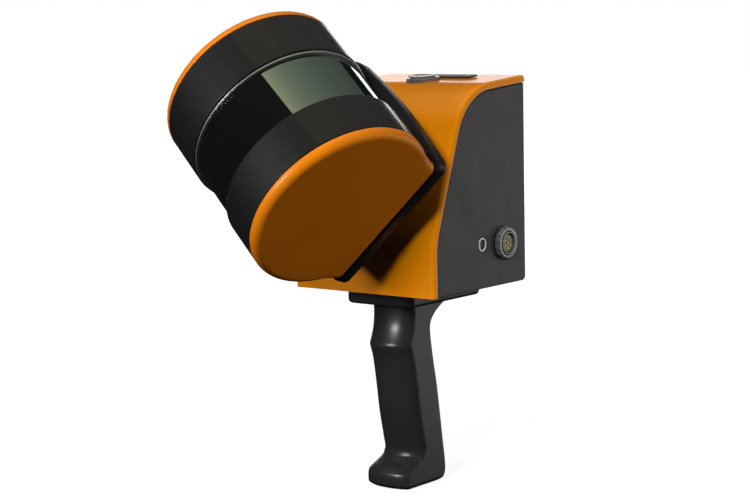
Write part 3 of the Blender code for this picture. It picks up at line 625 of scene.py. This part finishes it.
def handle_grip():
    """The grip's front, the depth of its rounded front and its back, each as (z, y) keys downwards."""
    top = GRIP_TOP
    front_keys = [(top, -15.1), (104.0, -15.1), (99.0, -15.6), (95.0, -16.6), (90.0, -18.6), (86.7, -20.1)]
    front_keys += [(85.0, -20.1), (78.0, -17.8), (63.0, -15.3), (44.0, -12.7), (27.0, -9.1), (21.5, -7.7)]
    front_keys += [(19.0, -7.9), (17.0, -8.8), (14.5, -12.0), (12.2, -17.2), (10.5, -20.1), (8.4, -21.2)]
    front_keys += [(5.0, -21.3), (2.0, -20.7), (0.0, -18.3)]
    bulge_keys = [(top, 7.8), (99.0, 8.1), (90.0, 8.7), (78.0, 9.1), (44.0, 9.7), (21.5, 9.5)]
    bulge_keys += [(17.5, 8.2), (14.5, 6.4), (12.2, 5.6), (10.0, 4.8), (6.0, 4.5), (0.0, 4.2)]
    back_keys = [(top, 26.5), (108.0, 22.0), (104.0, 15.1), (99.0, 10.1), (94.0, 8.8), (81.0, 10.4)]
    back_keys += [(58.0, 14.8), (24.0, 19.8), (9.0, 21.9), (4.0, 21.4), (1.2, 19.3), (0.0, 16.5)]
    heights = [top - i * 1.1 for i in range(int((top - 24.0) / 1.1))]
    heights += [24.0 - i * 0.6 for i in range(37)] + [1.8, 1.2, 0.7, 0.3, 0.0]
    loops = []
    for z in heights:
        half = GRIP_HALF_WIDTH - 2.0 * max(0.0, 1.0 - z / 2.2) ** 2
        loops.append(grip_section(eased(front_keys, z), eased(back_keys, z), half, eased(bulge_keys, z), z))
    piece("grip_body", skin(loops), "grip", "scanner_body", ["handle_grip"])


# ---------------------------------------------------------------- top and side fittings

def top_fittings():
    bezel = [(8.05, BUTTON_FOOT, 0), (9.2, BUTTON_FOOT, 0), (BUTTON_RADIUS, BUTTON_FOOT + 0.8, 0)]
    bezel += [(BUTTON_RADIUS, 2.1, 0.9), (8.05, 2.1, 0.5)]
    piece("button_ring", turned(filleted(bezel, 6)), "nut", "scanner_body", ["button_bezel"], BUTTON_SEAT)
    cap = [(2.6, -9.2), (2.6, CAP_UNDERSIDE), (7.7, CAP_UNDERSIDE), (7.7, 2.7), (7.6, 3.0)]
    cap += [(7.35, 3.22), (7.0, 3.28)]
    cap += [(6.4, 3.2), (5.6, 3.08), (4.2, 2.95), (2.4, 2.87), (0.8, 2.85)]
    piece("button_top", turned_solid(cap), "nut", "power_button", ["button_cap"], BUTTON_SEAT)
    button_coil()
    plate = from_node("accessory_plate", 0.25)
    piece("accessory_cover", plate, "shoe", "scanner_body", ["accessory_plate"])


def button_coil():
    """The spring under the cap, at rest."""
    bottom = BUTTON_FOOT + 1.2
    top = CAP_UNDERSIDE - GAP - SPRING_WIRE
    steps = 24 * SPRING_TURNS
    loops = []
    for i in range(steps + 1):
        turn = Matrix.Rotation(math.tau * SPRING_TURNS * i / steps, 4, "Z")
        centre = Matrix.Translation((0.0, 0.0, bottom + (top - bottom) * i / steps)) @ turn
        wire = circle(SPRING_WIRE, 0.0, 12)
        loops.append([centre @ Vector((SPRING_RADIUS + point.x, 0.0, point.y)) for point in wire])
    coil = piece("button_coil", skin(loops), "steel", "scanner_body", ["button_spring"], BUTTON_SEAT)
    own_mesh(coil)


def connector():
    seat = on_panel(CONNECTOR_Y, CONNECTOR_Z)
    barrel = filleted([(5.9, -8.0, 0), (6.8, -8.0, 0), (6.8, 4.4, 0.35), (5.9, 4.4, 0.3)])
    piece("connector_shell", turned(barrel, 72), "nut", "scanner_body", ["connector_barrel"], seat)
    teeth, count = 14, 140
    levels = [(9.7, 0.2, GAP), (10.0, 0.4, GAP + 0.25), (10.2, 0.6, GAP + 0.8), (10.2, 0.6, 2.4)]
    levels += [(10.0, 0.5, 2.8), (9.6, 0.35, 3.2), (9.1, 0.15, 3.5), (8.6, 0.0, 3.65)]
    levels += [(7.6, 0.0, 3.7), (7.2, 0.0, 3.4), (7.2, 0.0, GAP)]
    rings = []
    for radius, depth, z in levels:
        ring = []
        for i in range(count):
            angle = math.tau * i / count
            size = radius - depth * (0.5 - 0.5 * math.cos(teeth * angle)) ** 2
            ring.append(Vector((size * math.cos(angle), size * math.sin(angle), z)))
        rings.append(ring)
    piece("connector_ring", skin(rings, cyclic=True), "nut", "scanner_body", ["connector_nut"], seat)
    insert = from_node("connector_insert", 0.12)
    piece("connector_core", insert, "insert", "scanner_body", ["connector_insert"])
    piece("port_outline", from_node("port_icon", 0.1), "pale", "scanner_body", ["port_icon"])


# ---------------------------------------------------------------- head

def d_section(inset, x):
    """The head's section, moved inwards: round in front, with a flat back and rounded back corners."""
    radius = HEAD_RADIUS - inset
    shoulder = math.asin(HEAD_SHOULDER / radius)
    points = arc((0.0, 0.0), radius, shoulder, math.pi - shoulder, 120)
    corner = max(HEAD_CORNER - inset, 1.2)
    side = HEAD_FLAT_HALF - inset - corner
    low = HEAD_FLAT + inset + corner
    points += arc((-side, low), corner, math.pi, 1.5 * math.pi, 8)
    points += arc((side, low), corner, 1.5 * math.pi, math.tau, 8)
    return [Vector((x, y, z)) for y, z in points]


def d_ring(corners):
    """A ring with the head's section, from the (inset, x, radius) corners of its profile."""
    return skin([d_section(inset, x) for inset, x in filleted(corners, 5)], cyclic=True)


def end_cap(name, side, node):
    loops = [d_section(0.5, side * (BAND_END + GAP))]
    loops += [d_section(0.1, side * (BAND_END + GAP + 0.15)), d_section(0.0, side * (BAND_END + GAP + 0.5))]
    steps = 14
    for i in range(steps + 1):
        turn = math.pi / 2 * i / steps
        x = CAP_END - CAP_RIM * (1 - math.sin(turn))
        loops.append(d_section(CAP_RIM * (1 - math.cos(turn)), side * x))
    piece(name, skin(loops), "cap", "scan_head", [node], HEAD)


def head_covers():
    end_cap("cap_cover_near", 1, "near_cap")
    end_cap("cap_cover_far", -1, "far_cap")
    start, end = WINDOW_NEAR + GAP, BAND_END
    near = [(0.0, start, 0.9), (0.0, end, 0.4), (BAND_WALL, end, 0), (BAND_WALL, start, 0)]
    piece("band_cover_near", d_ring(near), "band", "scan_head", ["near_band"], HEAD)
    trim_far = WINDOW_FAR - TRIM_WIDTH
    start, end = -BAND_END, trim_far - GAP
    far = [(0.0, start, 0.4), (0.0, end, 0.9), (BAND_WALL, end, 0), (BAND_WALL, start, 0)]
    piece("band_cover_far", d_ring(far), "band", "scan_head", ["far_band"], HEAD)
    inner = WINDOW_INSET + WINDOW_WALL
    trim = [(0.6, trim_far, 0.4), (0.6, WINDOW_FAR, 0.4), (inner, WINDOW_FAR, 0), (inner, trim_far, 0)]
    piece("window_ring", d_ring(trim), "trim", "scan_head", ["window_trim"], HEAD)
    glass = [(WINDOW_INSET, WINDOW_FAR + GAP, 0.3), (WINDOW_INSET, WINDOW_NEAR, 0.3)]
    glass += [(inner, WINDOW_NEAR, 0), (inner, WINDOW_FAR + GAP, 0)]
    piece("window_pane", d_ring(glass), "glass", "scan_head", ["window_glass"], HEAD)


def bracket_outline(inset, z):
    """The bracket plate from the front: tight corners at its near end, wide ones at its far end."""
    half = PLATE_HALF_WIDTH - inset
    near = PLATE_NEAR_END - PLATE_NEAR_CORNER
    far = PLATE_FAR_END + PLATE_FAR_CORNER
    points = []
    for quarter, side_x, side_y in ((0, 1, 1), (1, -1, 1), (2, -1, -1), (3, 1, -1)):
        radius = (PLATE_NEAR_CORNER if side_x > 0 else PLATE_FAR_CORNER) - inset
        end = PLATE_NEAR_END - inset if side_x > 0 else PLATE_FAR_END + inset
        centre = (end - side_x * radius, side_y * (half - radius))
        start = quarter * math.pi / 2
        points += arc(centre, radius, start, start + math.pi / 2, 12)
        for step in range(1, 16) if quarter in (0, 2) else ():
            t = step / 8 - 1
            x = (near + far) / 2 - side_y * t * (near - far) / 2
            points.append((x, side_y * (half + PLATE_BOW * (1 - t * t))))
    return [Vector((x, y, z)) for x, y in points]


def bracket():
    front = HEAD_FLAT - GAP
    edge = 0.9
    turns = [math.pi / 2 * i / 5 for i in range(6)]
    levels = [(edge * (1 - math.sin(a)), PLATE_BACK + edge * (1 - math.cos(a))) for a in turns]
    levels += [(edge * (1 - math.cos(a)), front - edge * (1 - math.sin(a))) for a in turns]
    solid = placed(skin([bracket_outline(inset, z) for inset, z in levels]), HEAD)
    pockets = []
    for x in (-1, 1):
        for y in (-1, 1):
            pockets.append(placed(cylinder(3.2 + GAP, -8.0, 0.2), bracket_seat(x, y)))
    piece("bracket_body", cut_away(solid, pockets), "gloss", "scan_head", ["bracket_plate"])
    bore = SHAFT_RADIUS + GAP
    hub = [(bore, -83.0, 0), (HUB_RADIUS, -83.0, 0.8), (HUB_RADIUS, -56.5, 3.0), (30.0, -52.9, 1.2)]
    hub += [(30.0, PLATE_BACK - GAP, 0.4), (bore, PLATE_BACK - GAP, 0)]
    piece("hub_body", turned(filleted(hub, 8)), "band", "scan_head", ["neck_hub"], MOTOR)
    inner = HUB_RADIUS + GAP
    collar = [(inner, BULKHEAD_FRONT + GAP, 0), (COLLAR_RADIUS, BULKHEAD_FRONT + GAP, 0)]
    collar += [(COLLAR_RADIUS, COLLAR_FRONT, 1.8), (inner, COLLAR_FRONT, 0.8)]
    piece("collar_ring", turned(filleted(collar, 6)), "band", "scanner_body", ["neck_collar"], MOTOR)


# ---------------------------------------------------------------- studio

def camera():
    """A long lens. Its angles and distance were fitted to the photograph's outlines."""
    azimuth, elevation, roll = math.radians(38.36), math.radians(7.13), math.radians(-1.154)
    aim = Vector((38.3, -74.3, 151.6)) * MM
    distance = 1.0841
    back = Vector((math.sin(azimuth) * math.cos(elevation), -math.cos(azimuth) * math.cos(elevation),
                   math.sin(elevation)))
    right = Vector((math.cos(azimuth), math.sin(azimuth), 0.0))
    up = back.cross(right)
    turned_right = math.cos(roll) * right + math.sin(roll) * up
    data = bpy.data.cameras.new("camera")
    data.lens = 94.08
    data.sensor_width = 36.0
    made = bpy.data.objects.new("camera", data)
    bpy.context.collection.objects.link(made)
    made.matrix_world = axes_at(aim + back * distance, turned_right, back.cross(turned_right), back)
    bpy.context.scene.camera = made


def soft_light(name, azimuth, elevation, distance, size, energy, mirrored=True):
    """A square softbox aimed at the scanner. Azimuth 0 is straight in front, 90 on the right."""
    target = Vector((0.0, -0.05, 0.17))
    turn, rise = math.radians(azimuth), math.radians(elevation)
    towards = Vector((math.sin(turn) * math.cos(rise), -math.cos(turn) * math.cos(rise), math.sin(rise)))
    data = bpy.data.lights.new(name, "AREA")
    data.size = size
    data.energy = energy
    made = bpy.data.objects.new(name, data)
    bpy.context.collection.objects.link(made)
    made.location = target + towards * distance
    made.rotation_euler = towards.to_track_quat("Z", "Y").to_euler()
    made.visible_camera = False
    made.visible_glossy = mirrored


def card(name, place, facing, size, radiance, fall=0.0):
    """A glowing studio card. With a fall it is brightest and warmest along its local -Y edge, where its
    light halves over that many metres, and then falls more slowly."""
    bm = bmesh.new()
    bmesh.ops.create_grid(bm, x_segments=1, y_segments=1, size=0.5)
    bmesh.ops.scale(bm, vec=(size[0], size[1], 1.0), verts=bm.verts)
    made = plain_object(name, bm)
    made.location = place
    made.rotation_euler = Vector(facing).to_track_quat("Z", "Y").to_euler()
    look = Recipe(name)
    look.tree.nodes.remove(look.shader)
    glow = look.node("ShaderNodeEmission")
    glow.inputs["Strength"].default_value = radiance
    if fall:
        height = look.node("ShaderNodeSeparateXYZ")
        look.link(look.place, height.inputs["Vector"])
        spread = look.node("ShaderNodeMath", operation="MULTIPLY_ADD")
        look.link(height.outputs["Y"], spread.inputs[0])
        spread.inputs[1].default_value = 1.0 / fall
        spread.inputs[2].default_value = 1.0 + size[1] / 2 / fall
        share = look.node("ShaderNodeMath", operation="DIVIDE")
        share.inputs[0].default_value = 1.0
        look.link(spread.outputs["Value"], share.inputs[1])
        strength = look.node("ShaderNodeMath", operation="MULTIPLY")
        look.link(share.outputs["Value"], strength.inputs[0])
        strength.inputs[1].default_value = radiance
        look.link(strength.outputs["Value"], glow.inputs["Strength"])
        tint = look.mixed(share.outputs["Value"], (0.9, 1.0, 1.0), (1.22, 1.0, 0.67))
        look.link(tint, glow.inputs["Color"])
    look.link(glow.outputs["Emission"], look.tree.nodes["Material Output"].inputs["Surface"])
    made.data.materials.append(look.material)
    made.visible_camera = False


def floor():
    """Paper that only the camera sees. It is a little off white by the scanner and white further out."""
    bm = bmesh.new()
    bmesh.ops.create_circle(bm, cap_ends=True, segments=64, radius=8.0)
    made = plain_object("floor", bm)
    made.location.z = -0.0006
    look = Recipe("floor_paper", Roughness=0.9)
    look.shader.inputs["Emission Color"].default_value = (1.0, 1.0, 1.0, 1.0)
    distance = look.node("ShaderNodeVectorMath", operation="LENGTH")
    look.link(look.place, distance.inputs[0])
    glow = look.ranged(distance.outputs["Value"], 0.88, 1.0, 0.2, 1.2)
    look.link(glow, look.shader.inputs["Emission Strength"])
    drift = look.ranged(look.noise(60.0), 0.0, 1.0)
    look.colour(look.mixed(drift, (0.17, 0.17, 0.17), (0.19, 0.19, 0.19)))
    made.data.materials.append(look.material)
    made.visible_diffuse = False
    made.visible_glossy = False
    made.visible_shadow = False


def room():
    """Dim light, a little brighter from above. The camera itself sees plain white walls."""
    world = bpy.data.worlds.new("studio")
    bpy.context.scene.world = world
    world.use_nodes = True
    tree = world.node_tree
    background = tree.nodes["Background"]
    height = tree.nodes.new("ShaderNodeSeparateXYZ")
    place = tree.nodes.new("ShaderNodeTexCoord")
    tree.links.new(place.outputs["Generated"], height.inputs["Vector"])
    shade = tree.nodes.new("ShaderNodeMapRange")
    for socket, value in (("From Min", -1.0), ("From Max", 1.0), ("To Min", 0.008), ("To Max", 0.02)):
        shade.inputs[socket].default_value = value
    tree.links.new(height.outputs["Z"], shade.inputs["Value"])
    path = tree.nodes.new("ShaderNodeLightPath")
    seen = tree.nodes.new("ShaderNodeMix")
    seen.inputs[3].default_value = 1.0
    tree.links.new(path.outputs["Is Camera Ray"], seen.inputs[0])
    tree.links.new(shade.outputs["Result"], seen.inputs[2])
    tree.links.new(seen.outputs[0], background.inputs["Strength"])
    background.inputs["Color"].default_value = (1.0, 1.0, 1.0, 1.0)


def studio():
    card("overhead_card", (0.0, 0.71, 1.35), (0.0, 0.0, -1.0), (1.8, 2.5), 1.2, 0.45)
    card("back_card", (-1.45, 1.9, 0.36), (0.5, -1.0, 0.0), (2.4, 0.92), 3.4)
    card("side_card", (1.25, 1.6, 0.0), (-0.6, -0.8, 0.0), (2.2, 0.9), 0.9)
    soft_light("key", -14.0, 15.0, 1.3, 0.34, 9.0)
    soft_light("upper", 18.0, 30.0, 1.3, 0.26, 12.0, mirrored=False)
    soft_light("side", 100.0, 10.0, 1.3, 0.5, 4.0, mirrored=False)
    floor()
    room()
    camera()
    bpy.context.scene.view_settings.view_transform = "Standard"


# ---------------------------------------------------------------- the whole scene

finish_kept_nodes()
front_shell()
side_panels()
covers()
screws()
handle_grip()
top_fittings()
connector()
head_covers()
bracket()
studio()

bpy.context.view_layer.update()
